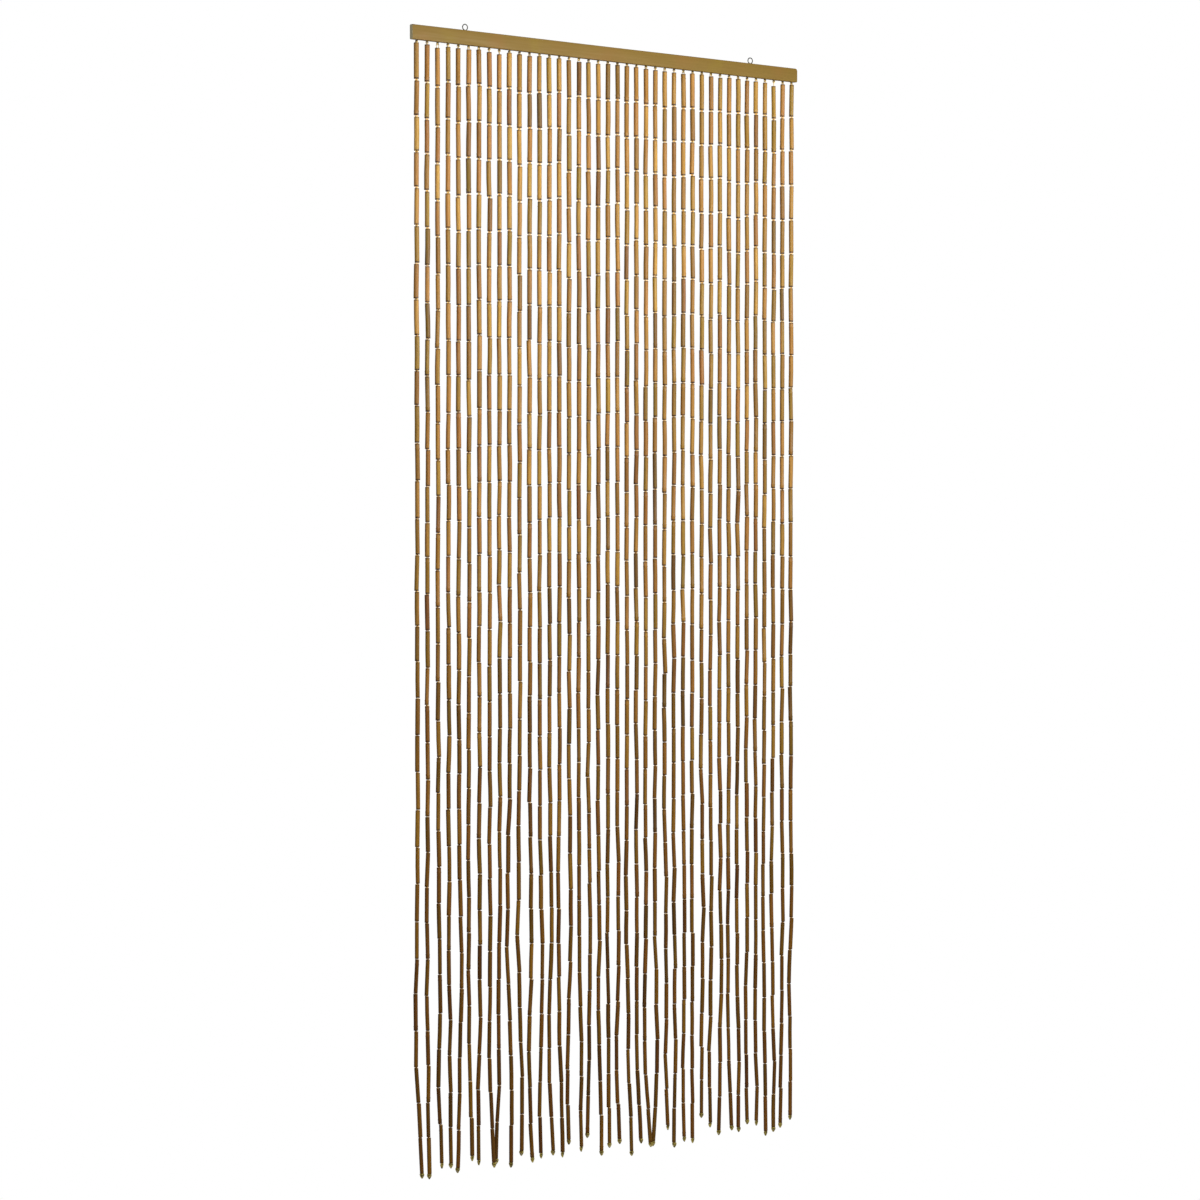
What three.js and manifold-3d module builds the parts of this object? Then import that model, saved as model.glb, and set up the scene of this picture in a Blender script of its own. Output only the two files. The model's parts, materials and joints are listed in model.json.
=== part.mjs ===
// Bamboo door curtain on a hanging rail: forty strands of short bamboo tubes, linked end to end with wire,
// that hang from a slim wooden rail with two steel screw eyes in its top edge.
// Millimetres. +Z is up, +X runs along the rail to the right and +Y points back to the wall.
// The origin lies midway between the centres of the two screw eyes.

import * as THREE from "three";
import { mergeVertices } from "three/addons/utils/BufferGeometryUtils.js";
import Module from "manifold-3d";

const wasm = await Module();
wasm.setup();

// Clearance between neighbouring solids
const CLEARANCE = 0.3;

// Screw eyes in the top edge of the rail
const EYE_SPREAD = 668;
const EYE_OUTER_DIAMETER = 11.5;
const EYE_WIRE = 1.8;
const EYE_WIRE_SIDES = 6;
const EYE_RING_STEPS = 14;
const EYE_ABOVE_RAIL = 1.25;
const SHANK_DIAMETER = 2;
const SHANK_SIDES = 6;
const SHANK_IN_RAIL = 13;
const PILOT_HOLE_DIAMETER = 2.7;

// Rail. Its lowest part is parted off as the strip that holds the roots of the strands
const RAIL_WIDTH = 900;
const RAIL_HEIGHT = 25.5;
const RAIL_DEPTH = 8;
const RAIL_CHAMFER = 0.8;
const STRIP_HEIGHT = 4;
const RAIL_TOP = -EYE_OUTER_DIAMETER / 2 - EYE_ABOVE_RAIL;
const RAIL_BOTTOM = RAIL_TOP - RAIL_HEIGHT;
const STRIP_TOP = RAIL_BOTTOM + STRIP_HEIGHT;

// Bamboo tubes, and the wire loops between them and at both ends of a strand
const STRAND_PITCH = 22.5;
const TUBE_DIAMETER = 7.6;
const TUBE_PITCH = 63.4;
const TUBE_PITCH_SPREAD = 0.05;
const GAP_NEAR_RAIL = 3.2;
const GAP_LOWER_DOWN = 1.4;
const WIDE_GAPS_TO_BELOW_RAIL = 280;
const NARROW_GAPS_FROM_BELOW_RAIL = 520;
const NECK_DIAMETER = 2;
const ROOT_IN_STRIP = 1.5;
const ROOT_DROP = 6;
const ROOT_DROP_SPREAD = 1.5;
const LOW_HUNG_STRANDS = [3, 9, 38];
const LOW_HUNG_EXTRA = 4;
const HOOK_LENGTH = 9;

// A strand's section is an even triangle with a flat face to the front, as wide on average as the round tube.
// The two front edges are notched at each joint. The back edge only bends, at every second joint
const EDGE_REACH = (TUBE_DIAMETER * Math.PI) / (3 * Math.sqrt(3));
const NECK_REACH = (NECK_DIAMETER * Math.PI) / (3 * Math.sqrt(3));
const EDGES = [
  { degrees: 210, notched: true },
  { degrees: 330, notched: true },
  { degrees: 90, notched: false },
];
const BACK_BENDS_EVERY = 2;

// How each strand hangs, from left to right: its swing from the plumb line, to the right, at three heights and
// at its tip, and how far its tip lies below the rail's top. Where lean is given, it swings back by so much
const PLUMB_TO_BELOW_RAIL = 1300;
const KNEE_BELOW_RAIL = 1580;
const CALF_BELOW_RAIL = 1700;
const SHIN_BELOW_RAIL = 1830;
const STRANDS = [
  { knee: -1, calf: -4, shin: -1, tip: 9, drop: 1985 },
  { knee: -2, calf: -4, shin: 0, tip: 2, drop: 1988 },
  { knee: 2, calf: 2, shin: 0, tip: 7, drop: 1973 },
  { knee: 1, calf: 2, shin: 2, tip: 4, drop: 1975 },
  { knee: 4, calf: 5, shin: 2, tip: -4, drop: 1985 },
  { knee: -2, calf: -1, shin: 1, tip: 6, drop: 1968 },
  { knee: 0, calf: 2, shin: -4, tip: -2, drop: 1977 },
  { knee: 2, calf: 0, shin: 1, tip: 8, drop: 1985, lean: -2 },
  { knee: 1, calf: -2, shin: 0, tip: -7, drop: 1980, lean: 2 },
  { knee: -6, calf: -2, shin: 4, tip: 2, drop: 1990 },
  { knee: -5, calf: 1, shin: 5, tip: 3, drop: 1972 },
  { knee: 6, calf: 0, shin: -2, tip: 6, drop: 1987 },
  { knee: 5, calf: 4, shin: 0, tip: 3, drop: 1982 },
  { knee: 5, calf: -1, shin: -2, tip: 8, drop: 1980 },
  { knee: -2, calf: -1, shin: 3, tip: 7, drop: 1986 },
  { knee: 6, calf: 0, shin: -4, tip: -1, drop: 1965 },
  { knee: 1, calf: 3, shin: 6, tip: 5, drop: 1981 },
  { knee: 4, calf: 2, shin: 0, tip: -3, drop: 1958 },
  { knee: 2, calf: 0, shin: 4, tip: 8, drop: 1994 },
  { knee: -1, calf: 0, shin: 3, tip: 4, drop: 1982 },
  { knee: 3, calf: 2, shin: -4, tip: 6, drop: 1978 },
  { knee: -1, calf: 4, shin: 3, tip: 12, drop: 2003 },
  { knee: 1, calf: 0, shin: 2, tip: 12, drop: 1983 },
  { knee: 1, calf: -2, shin: -3, tip: 11, drop: 1992, lean: -2 },
  { knee: -2, calf: 4, shin: 6, tip: -3, drop: 1992, lean: 2 },
  { knee: 4, calf: 6, shin: 2, tip: 9, drop: 1966 },
  { knee: 2, calf: 4, shin: 4, tip: 2, drop: 2000 },
  { knee: 4, calf: 3, shin: 2, tip: 4, drop: 1992 },
  { knee: -1, calf: 1, shin: 0, tip: 2, drop: 1997 },
  { knee: 5, calf: 4, shin: 0, tip: 1, drop: 1953 },
  { knee: 3, calf: 1, shin: -1, tip: 0, drop: 1973 },
  { knee: 4, calf: 4, shin: 3, tip: -1, drop: 1990 },
  { knee: -1, calf: 0, shin: 1, tip: 9, drop: 1985 },
  { knee: -2, calf: 0, shin: 4, tip: 4, drop: 1990 },
  { knee: 3, calf: 0, shin: 0, tip: 3, drop: 1978 },
  { knee: 2, calf: 2, shin: 2, tip: 4, drop: 1983 },
  { knee: -4, calf: 2, shin: 1, tip: 5, drop: 2005 },
  { knee: -4, calf: -2, shin: 4, tip: 2, drop: 2000 },
  { knee: 3, calf: 1, shin: 0, tip: -3, drop: 1994 },
  { knee: 3, calf: -3, shin: 1, tip: 0, drop: 1982 },
];
const STRANDS_PER_STRIP = STRANDS.length / 2;

// Small unevenness of the joints, which grows from the rail down to the knee
const WANDER_AT_RAIL = 0.3;
const WANDER_AT_KNEE = 1.2;

// Terms of the sine that gives each joint its own even chance between -1 and 1
const SCATTER = { strand: 12.9898, joint: 78.233, use: 37.719, stretch: 43758.5453 };
const USE = { length: 1, root: 2, aside: 3, back: 4 };

function scatter(strand, joint, use) {
  const turn = strand * SCATTER.strand + joint * SCATTER.joint + use * SCATTER.use;
  const wide = Math.sin(turn) * SCATTER.stretch;
  return 2 * (wide - Math.floor(wide)) - 1;
}

// Straight runs between the rows of a list of { below, value } pairs, the highest row first
function between(rows, below) {
  const last = rows.length - 1;
  const next = rows.findIndex((row) => row.below >= below);
  if (next === 0) return rows[0].value;
  if (next < 0) return rows[last].value;
  const [above, under] = [rows[next - 1], rows[next]];
  const share = (below - above.below) / (under.below - above.below);
  return above.value + share * (under.value - above.value);
}

// The joints of a strand, from the top of its first tube to the foot of its last
function jointsOf(number) {
  const { knee, calf, shin, tip, drop, lean = 0 } = STRANDS[number - 1];
  const rootX = (number - (STRANDS.length + 1) / 2) * STRAND_PITCH;
  const lowHung = LOW_HUNG_STRANDS.includes(number) ? LOW_HUNG_EXTRA : 0;
  const start = RAIL_HEIGHT + ROOT_DROP + lowHung + ROOT_DROP_SPREAD * scatter(number, 0, USE.root);
  const reach = drop - HOOK_LENGTH - start;
  const tubes = Math.round(reach / TUBE_PITCH);
  const shares = Array.from(
    { length: tubes },
    (_, tube) => 1 + TUBE_PITCH_SPREAD * scatter(number, tube, USE.length),
  );
  const whole = shares.reduce((sum, share) => sum + share, 0);
  const aside = [
    { below: PLUMB_TO_BELOW_RAIL, value: 0 },
    { below: KNEE_BELOW_RAIL, value: knee },
    { below: CALF_BELOW_RAIL, value: calf },
    { below: SHIN_BELOW_RAIL, value: shin },
    { below: drop, value: tip },
  ];
  const back = [
    { below: CALF_BELOW_RAIL, value: 0 },
    { below: drop, value: lean },
  ];
  const wander = [
    { below: start, value: WANDER_AT_RAIL },
    { below: KNEE_BELOW_RAIL, value: WANDER_AT_KNEE },
  ];
  const gaps = [
    { below: WIDE_GAPS_TO_BELOW_RAIL, value: GAP_NEAR_RAIL },
    { below: NARROW_GAPS_FROM_BELOW_RAIL, value: GAP_LOWER_DOWN },
  ];
  const joints = [];
  let below = start;
  for (let joint = 0; joint <= tubes; joint += 1) {
    const loose = joint > 0 && joint < tubes ? between(wander, below) : 0;
    joints.push({
      x: rootX + between(aside, below) + loose * scatter(number, joint, USE.aside),
      y: between(back, below) + loose * scatter(number, joint, USE.back),
      z: RAIL_TOP - below,
      halfGap: between(gaps, below) / 2,
    });
    below += (reach * shares[Math.min(joint, tubes - 1)]) / whole;
  }
  return joints;
}

// One edge of a strand, as points that run down from the root in the strip to the foot of the last tube
function edgePoints(edge, joints) {
  const angle = THREE.MathUtils.degToRad(edge.degrees);
  const at = (joint, rise, distance) =>
    new THREE.Vector3(
      joint.x + distance * Math.cos(angle),
      joint.y + distance * Math.sin(angle),
      joint.z + rise,
    );
  const last = joints.length - 1;
  const top = joints[0];
  const points = [
    at({ ...top, z: RAIL_BOTTOM + ROOT_IN_STRIP }, 0, NECK_REACH),
    at(top, top.halfGap, NECK_REACH),
    at(top, 0, EDGE_REACH),
  ];
  for (let joint = 1; joint < last; joint += 1) {
    if (edge.notched) {
      points.push(at(joints[joint], joints[joint].halfGap, EDGE_REACH));
      points.push(at(joints[joint], 0, NECK_REACH));
      points.push(at(joints[joint], -joints[joint].halfGap, EDGE_REACH));
    } else if (joint % BACK_BENDS_EVERY === 0) {
      points.push(at(joints[joint], 0, EDGE_REACH));
    }
  }
  points.push(at(joints[last], 0, EDGE_REACH));
  return points;
}

// A strand as one closed skin: its edges, laced to each other in pairs, a cap on the root and a pointed hook
function strandGeometry(number) {
  const joints = jointsOf(number);
  const foot = joints[joints.length - 1];
  const points = [new THREE.Vector3(foot.x, foot.y, foot.z - HOOK_LENGTH)];
  const tipIndex = 0;
  const edges = EDGES.map((edge) =>
    edgePoints(edge, joints).map((point) => points.push(point) - 1).concat(tipIndex),
  );
  const triangles = [edges.map((edge) => edge[0])];
  const height = (edge, step) => (step < edge.length ? points[edge[step]].z : -Infinity);
  edges.forEach((left, side) => {
    const right = edges[(side + 1) % edges.length];
    let [l, r] = [0, 0];
    while (l < left.length - 1 || r < right.length - 1) {
      if (height(left, l + 1) >= height(right, r + 1)) {
        triangles.push([left[l], left[l + 1], right[r]]);
        l += 1;
      } else {
        triangles.push([left[l], right[r + 1], right[r]]);
        r += 1;
      }
    }
  });
  const whole = triangles.filter((corners) => new Set(corners).size === 3);
  const geometry = new THREE.BufferGeometry().setFromPoints(points);
  geometry.setIndex(whole.flat());
  return geometry;
}

// A closed geometry as a solid, and a solid as a geometry
function solidOf(geometry) {
  const bare = new THREE.BufferGeometry();
  bare.setAttribute("position", geometry.getAttribute("position"));
  bare.setIndex(geometry.index);
  const merged = mergeVertices(bare, 1e-4);
  const mesh = new wasm.Mesh({
    numProp: 3,
    vertProperties: merged.getAttribute("position").array,
    triVerts: new Uint32Array(merged.index.array),
  });
  return new wasm.Manifold(mesh);
}

function geometryOf(solid) {
  const mesh = solid.getMesh();
  const geometry = new THREE.BufferGeometry();
  geometry.setAttribute("position", new THREE.BufferAttribute(mesh.vertProperties, 3));
  geometry.setIndex(new THREE.BufferAttribute(mesh.triVerts, 1));
  return geometry.toNonIndexed();
}

// A slat along X, between two heights, with chamfers along its lower and its upper edges
function slatSolid({ centre, width, low, high, lowChamfer, highChamfer }) {
  const half = RAIL_DEPTH / 2;
  const section = new THREE.Shape();
  section.moveTo(-half + lowChamfer, low);
  section.lineTo(half - lowChamfer, low);
  if (lowChamfer) section.lineTo(half, low + lowChamfer);
  section.lineTo(half, high - highChamfer);
  if (highChamfer) section.lineTo(half - highChamfer, high);
  section.lineTo(-half + highChamfer, high);
  if (highChamfer) section.lineTo(-half, high - highChamfer);
  if (lowChamfer) section.lineTo(-half, low + lowChamfer);
  const slat = new THREE.ExtrudeGeometry(section, { depth: width, bevelEnabled: false });
  const acrossToY = new THREE.Vector3(0, 1, 0);
  const upToZ = new THREE.Vector3(0, 0, 1);
  const alongToX = new THREE.Vector3(1, 0, 0);
  slat.applyMatrix4(new THREE.Matrix4().makeBasis(acrossToY, upToZ, alongToX));
  slat.translate(centre - width / 2, 0, 0);
  return solidOf(slat);
}

// An upright round bar with few sides
function uprightBar({ x, low, high, radius }) {
  const bar = new THREE.CylinderGeometry(radius, radius, high - low, SHANK_SIDES);
  bar.rotateX(Math.PI / 2);
  bar.translate(x, 0, (low + high) / 2);
  return solidOf(bar);
}

const EYES = [
  { side: "left", x: -EYE_SPREAD / 2 },
  { side: "right", x: EYE_SPREAD / 2 },
];

function railSolid() {
  const slat = slatSolid({
    centre: 0,
    width: RAIL_WIDTH,
    low: STRIP_TOP + CLEARANCE,
    high: RAIL_TOP,
    lowChamfer: 0,
    highChamfer: RAIL_CHAMFER,
  });
  const holes = EYES.map(({ x }) =>
    uprightBar({
      x,
      low: RAIL_TOP - SHANK_IN_RAIL - CLEARANCE,
      high: RAIL_TOP + CLEARANCE,
      radius: PILOT_HOLE_DIAMETER / 2,
    }),
  );
  return holes.reduce((solid, hole) => solid.subtract(hole), slat);
}

// A screw eye: a wire ring in the curtain's plane, on a shank that goes down into the rail
function eyeSolid({ x }) {
  const ringRadius = (EYE_OUTER_DIAMETER - EYE_WIRE) / 2;
  const ring = new THREE.TorusGeometry(ringRadius, EYE_WIRE / 2, EYE_WIRE_SIDES, EYE_RING_STEPS);
  ring.rotateX(Math.PI / 2);
  ring.translate(x, 0, 0);
  const shank = uprightBar({
    x,
    low: RAIL_TOP - SHANK_IN_RAIL,
    high: -ringRadius,
    radius: SHANK_DIAMETER / 2,
  });
  return solidOf(ring).add(shank);
}

// Half of the strip under the rail, with the strands that hang from it
function strandsSolid({ first, last, centre }) {
  const strip = slatSolid({
    centre,
    width: (RAIL_WIDTH - CLEARANCE) / 2,
    low: RAIL_BOTTOM,
    high: STRIP_TOP,
    lowChamfer: RAIL_CHAMFER,
    highChamfer: 0,
  });
  let solid = strip;
  for (let number = first; number <= last; number += 1) {
    solid = solid.add(solidOf(strandGeometry(number)));
  }
  return solid;
}

const railWood = new THREE.MeshStandardMaterial({ color: 0x977a42, roughness: 0.6, metalness: 0 });
const bamboo = new THREE.MeshStandardMaterial({ color: 0x86643a, roughness: 0.5, metalness: 0 });
const steel = new THREE.MeshStandardMaterial({ color: 0x9a9a98, roughness: 0.35, metalness: 1 });

const curtain = new THREE.Group();

function addPiece(name, solid, material) {
  const geometry = geometryOf(solid);
  geometry.computeVertexNormals();
  const mesh = new THREE.Mesh(geometry, material);
  mesh.name = name;
  curtain.add(mesh);
}

addPiece("rail", railSolid(), railWood);
EYES.forEach((eye) => addPiece(`hanger_eye_${eye.side}`, eyeSolid(eye), steel));
const stripShift = (RAIL_WIDTH + CLEARANCE) / 4;
const leftStrands = { first: 1, last: STRANDS_PER_STRIP, centre: -stripShift };
const rightStrands = { first: STRANDS_PER_STRIP + 1, last: STRANDS.length, centre: stripShift };
addPiece("strands_left", strandsSolid(leftStrands), bamboo);
addPiece("strands_right", strandsSolid(rightStrands), bamboo);

export default curtain;
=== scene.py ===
"""Bamboo door curtain on a hanging rail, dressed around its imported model.

Forty strands of short bamboo tubes hang from a stained wooden slat. Thin brass wire links the tubes, loop through
loop, and ends in a small pointed hook under each strand. Two steel screw eyes carry the slat.
Metres, +Z up, +X along the rail to the right, +Y back to the wall, origin midway between the two screw eyes.
"""

from __future__ import annotations

import json
import logging
import math
from dataclasses import dataclass, field
from enum import Enum
from functools import cache, cached_property
from typing import Iterable, Mapping, Sequence

import bpy
from mathutils import Matrix, Vector

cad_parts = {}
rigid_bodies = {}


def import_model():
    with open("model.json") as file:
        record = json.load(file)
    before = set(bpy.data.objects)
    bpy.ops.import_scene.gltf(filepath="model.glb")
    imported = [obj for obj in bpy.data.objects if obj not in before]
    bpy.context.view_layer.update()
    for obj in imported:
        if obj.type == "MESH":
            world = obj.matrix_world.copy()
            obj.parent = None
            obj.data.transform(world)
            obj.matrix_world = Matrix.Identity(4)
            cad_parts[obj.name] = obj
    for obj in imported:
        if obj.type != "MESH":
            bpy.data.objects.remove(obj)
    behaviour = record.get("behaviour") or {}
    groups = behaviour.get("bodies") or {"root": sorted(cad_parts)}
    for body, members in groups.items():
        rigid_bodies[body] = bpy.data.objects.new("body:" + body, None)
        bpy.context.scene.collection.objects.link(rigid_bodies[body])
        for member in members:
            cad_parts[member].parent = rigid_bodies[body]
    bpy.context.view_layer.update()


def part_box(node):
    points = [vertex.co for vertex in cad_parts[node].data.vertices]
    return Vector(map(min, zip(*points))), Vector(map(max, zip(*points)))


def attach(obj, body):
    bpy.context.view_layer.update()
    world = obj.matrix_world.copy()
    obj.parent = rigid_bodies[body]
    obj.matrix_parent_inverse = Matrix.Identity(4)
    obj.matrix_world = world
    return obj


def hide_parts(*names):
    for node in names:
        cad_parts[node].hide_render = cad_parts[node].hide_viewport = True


LOG = logging.getLogger("bamboo_curtain")
MM = 0.001
BODY = "root"
UP = Vector((0, 0, 1))

Colour = tuple[float, float, float]
Span = tuple[float, float]
Material = bpy.types.Material
Socket = bpy.types.NodeSocket
Sources = Mapping[str | int, object]
Tree = bpy.types.NodeTree


class Half(Enum):
    """The two halves of the curtain, each with its first and last strand, counted from the left."""

    LEFT = (1, 20)
    RIGHT = (21, 40)

    @property
    def label(self) -> str:
        """The half's name as used in node and piece names."""
        return self.name.lower()

    @property
    def strands(self) -> range:
        """The numbers of the strands in this half."""
        return range(self.value[0], self.value[1] + 1)


class Use(Enum):
    """What a scattered value is for, so that each use has its own chance."""

    LENGTH = 1
    ROOT = 2
    ASIDE = 3
    BACK = 4


class Draw(Enum):
    """What a tree draws a chance for. Its number is added to the tree's seed."""

    FITTING = 0
    LENGTH = 1
    GIRTH = 2
    ASIDE = 3
    BACK = 4
    TILT = 5
    SPIN = 6
    SHAPE = 7
    TONE = 8
    TINT = 9


@dataclass(frozen=True)
class Hang:
    """How one strand hangs, in millimetres.

    Its swing from the plumb line, to the right, at three heights and at its tip, how far its tip lies below the
    rail's top, and how far the tip swings to the back.
    """

    knee: float
    calf: float
    shin: float
    tip: float
    drop: float
    lean: float = 0.0


HANGS = (
    Hang(knee=-1, calf=-4, shin=-1, tip=9, drop=1985),
    Hang(knee=-2, calf=-4, shin=0, tip=2, drop=1988),
    Hang(knee=2, calf=2, shin=0, tip=7, drop=1973),
    Hang(knee=1, calf=2, shin=2, tip=4, drop=1975),
    Hang(knee=4, calf=5, shin=2, tip=-4, drop=1985),
    Hang(knee=-2, calf=-1, shin=1, tip=6, drop=1968),
    Hang(knee=0, calf=2, shin=-4, tip=-2, drop=1977),
    Hang(knee=2, calf=0, shin=1, tip=8, drop=1985, lean=-2),
    Hang(knee=1, calf=-2, shin=0, tip=-7, drop=1980, lean=2),
    Hang(knee=-6, calf=-2, shin=4, tip=2, drop=1990),
    Hang(knee=-5, calf=1, shin=5, tip=3, drop=1972),
    Hang(knee=6, calf=0, shin=-2, tip=6, drop=1987),
    Hang(knee=5, calf=4, shin=0, tip=3, drop=1982),
    Hang(knee=5, calf=-1, shin=-2, tip=8, drop=1980),
    Hang(knee=-2, calf=-1, shin=3, tip=7, drop=1986),
    Hang(knee=6, calf=0, shin=-4, tip=-1, drop=1965),
    Hang(knee=1, calf=3, shin=6, tip=5, drop=1981),
    Hang(knee=4, calf=2, shin=0, tip=-3, drop=1958),
    Hang(knee=2, calf=0, shin=4, tip=8, drop=1994),
    Hang(knee=-1, calf=0, shin=3, tip=4, drop=1982),
    Hang(knee=3, calf=2, shin=-4, tip=6, drop=1978),
    Hang(knee=-1, calf=4, shin=3, tip=12, drop=2003),
    Hang(knee=1, calf=0, shin=2, tip=12, drop=1983),
    Hang(knee=1, calf=-2, shin=-3, tip=11, drop=1992, lean=-2),
    Hang(knee=-2, calf=4, shin=6, tip=-3, drop=1992, lean=2),
    Hang(knee=4, calf=6, shin=2, tip=9, drop=1966),
    Hang(knee=2, calf=4, shin=4, tip=2, drop=2000),
    Hang(knee=4, calf=3, shin=2, tip=4, drop=1992),
    Hang(knee=-1, calf=1, shin=0, tip=2, drop=1997),
    Hang(knee=5, calf=4, shin=0, tip=1, drop=1953),
    Hang(knee=3, calf=1, shin=-1, tip=0, drop=1973),
    Hang(knee=4, calf=4, shin=3, tip=-1, drop=1990),
    Hang(knee=-1, calf=0, shin=1, tip=9, drop=1985),
    Hang(knee=-2, calf=0, shin=4, tip=4, drop=1990),
    Hang(knee=3, calf=0, shin=0, tip=3, drop=1978),
    Hang(knee=2, calf=2, shin=2, tip=4, drop=1983),
    Hang(knee=-4, calf=2, shin=1, tip=5, drop=2005),
    Hang(knee=-4, calf=-2, shin=4, tip=2, drop=2000),
    Hang(knee=3, calf=1, shin=0, tip=-3, drop=1994),
    Hang(knee=3, calf=-3, shin=1, tip=0, drop=1982),
)
DEEPEST = max(hang.drop for hang in HANGS)

# How far scatter turns for each strand, joint and use, and how widely it then spreads the sine
STRAND_STEP, JOINT_STEP, USE_STEP = 12.9898, 78.233, 37.719
SINE_SPREAD = 43758.5453


def scatter(strand: int, joint: int, use: Use) -> float:
    """Gives a joint its own even chance for one use.

    Args:
        strand: The strand's number, from 1.
        joint: The joint's number, from 0 at the rail.
        use: What the value is for.

    Returns:
        A value between -1 and 1, the same in each run.
    """
    turn = strand * STRAND_STEP + joint * JOINT_STEP + use.value * USE_STEP
    wide = math.sin(turn) * SINE_SPREAD
    return 2 * (wide - math.floor(wide)) - 1


def between(rows: Sequence[Span], below: float) -> float:
    """Reads a value off straight runs between rows.

    Args:
        rows: Pairs of a depth below the rail's top and the value there, the highest row first.
        below: The depth to read at.

    Returns:
        The value at that depth, held level past both ends.
    """
    if below <= rows[0][0]:
        return rows[0][1]
    for (above, start), (under, end) in zip(rows, rows[1:]):
        if below <= under:
            return start + (below - above) / (under - above) * (end - start)
    return rows[-1][1]


@dataclass(frozen=True)
class StrandRule:
    """The rule by which all strands hang, in millimetres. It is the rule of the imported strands.

    Gaps pairs a depth below the rail's top with the height of the gaps between tubes there.
    """

    pitch: float = 22.5
    tube_pitch: float = 63.4
    tube_pitch_spread: float = 0.05
    root_drop: float = 6.0
    root_drop_spread: float = 1.5
    low_hung: tuple[int, ...] = (3, 9, 38)
    low_hung_extra: float = 4.0
    hook_length: float = 9.0
    plumb_to: float = 1300.0
    knee_at: float = 1580.0
    calf_at: float = 1700.0
    shin_at: float = 1830.0
    wander_at_rail: float = 0.3
    wander_at_knee: float = 1.2
    rail_height: float = 25.5
    gaps: tuple[Span, ...] = ((280.0, 3.2), (520.0, 1.4))

    def joints(self, number: int, rail_top: float) -> list[Vector]:
        """Works out the joints of a strand, from the top of its first tube to the foot of its last.

        Args:
            number: The strand's number, from 1 at the left.
            rail_top: The height of the rail's top, in metres.

        Returns:
            The joints in metres, the highest first.
        """
        hang = HANGS[number - 1]
        root_x = (number - (len(HANGS) + 1) / 2) * self.pitch
        low = self.low_hung_extra if number in self.low_hung else 0.0
        start = self.rail_height + self.root_drop + low + self.root_drop_spread * scatter(number, 0, Use.ROOT)
        reach = hang.drop - self.hook_length - start
        tubes = math.floor(reach / self.tube_pitch + 0.5)
        shares = [1 + self.tube_pitch_spread * scatter(number, tube, Use.LENGTH) for tube in range(tubes)]
        aside = (
            (self.plumb_to, 0.0),
            (self.knee_at, hang.knee),
            (self.calf_at, hang.calf),
            (self.shin_at, hang.shin),
            (hang.drop, hang.tip),
        )
        back = ((self.calf_at, 0.0), (hang.drop, hang.lean))
        wander = ((start, self.wander_at_rail), (self.knee_at, self.wander_at_knee))
        joints = []
        below = start
        for joint in range(tubes + 1):
            loose = between(wander, below) if 0 < joint < tubes else 0.0
            x = root_x + between(aside, below) + loose * scatter(number, joint, Use.ASIDE)
            y = between(back, below) + loose * scatter(number, joint, Use.BACK)
            joints.append(Vector((x * MM, y * MM, rail_top - below * MM)))
            below += reach * shares[min(joint, tubes - 1)] / sum(shares)
        return joints


# Meshes


@dataclass
class Shape:
    """Vertices, faces and loose edges of one mesh, with attributes at its vertices."""

    points: list[Vector]
    faces: list[tuple[int, ...]] = field(default_factory=list)
    edges: list[tuple[int, int]] = field(default_factory=list)
    marks: dict[str, list[Vector] | list[float]] = field(default_factory=dict)
    sharp: set[frozenset[int]] = field(default_factory=set)

    def mesh(self, name: str) -> bpy.types.Mesh:
        """Makes the Blender mesh, smooth but for its sharp edges.

        Args:
            name: The mesh's name.

        Returns:
            The new mesh, with its attributes.
        """
        mesh = bpy.data.meshes.new(name)
        mesh.from_pydata([tuple(point) for point in self.points], self.edges, self.faces)
        mesh.polygons.foreach_set("use_smooth", [True] * len(mesh.polygons))
        for label, rows in self.marks.items():
            if isinstance(rows[0], Vector):
                layer = mesh.attributes.new(label, "FLOAT_VECTOR", "POINT")
                layer.data.foreach_set("vector", [part for row in rows for part in row])
            else:
                layer = mesh.attributes.new(label, "FLOAT", "POINT")
                layer.data.foreach_set("value", rows)
        if self.sharp:
            layer = mesh.attributes.new("sharp_edge", "BOOLEAN", "EDGE")
            layer.data.foreach_set("value", [frozenset(edge.vertices) in self.sharp for edge in mesh.edges])
        mesh.validate()
        mesh.update()
        return mesh


def ring_faces(rings: int, sides: int, closed: bool) -> list[tuple[int, ...]]:
    """Laces rings of vertices into quads that face outwards, for rings that run up a counterclockwise section.

    Args:
        rings: How many rings there are.
        sides: How many vertices each ring has.
        closed: Whether the last ring joins the first.

    Returns:
        The quads.
    """
    faces = []
    for ring in range(rings if closed else rings - 1):
        lower, upper = ring * sides, (ring + 1) % rings * sides
        for side in range(sides):
            after = (side + 1) % sides
            faces.append((lower + side, lower + after, upper + after, upper + side))
    return faces


def capped(points: list[Vector], sides: int) -> Shape:
    """Laces rings of so many vertices each into a closed rod, whose last two faces are its ends."""
    ends = [tuple(reversed(range(sides))), tuple(range(len(points) - sides, len(points)))]
    return Shape(points, ring_faces(len(points) // sides, sides, closed=False) + ends)


def circle(sides: int) -> list[Span]:
    """The cosine and sine at even steps once round."""
    return [(math.cos(math.tau * side / sides), math.sin(math.tau * side / sides)) for side in range(sides)]


def sweep(path: Sequence[Vector], diameter: float, sides: int) -> Shape:
    """Sweeps a round wire along a path, with both ends closed.

    Args:
        path: The points of the wire's centre line.
        diameter: The wire's diameter.
        sides: How many sides its section has.

    Returns:
        The wire's closed shape.
    """
    points: list[Vector] = []
    across = Vector((0, 1, 0))
    for before, point, after in zip([path[0], *path], path, [*path[1:], path[-1]]):
        along = (after - before).normalized()
        across = (across - along * across.dot(along)).normalized()
        other = along.cross(across)
        points += [point + diameter / 2 * (across * x + other * y) for x, y in circle(sides)]
    return capped(points, sides)


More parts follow.
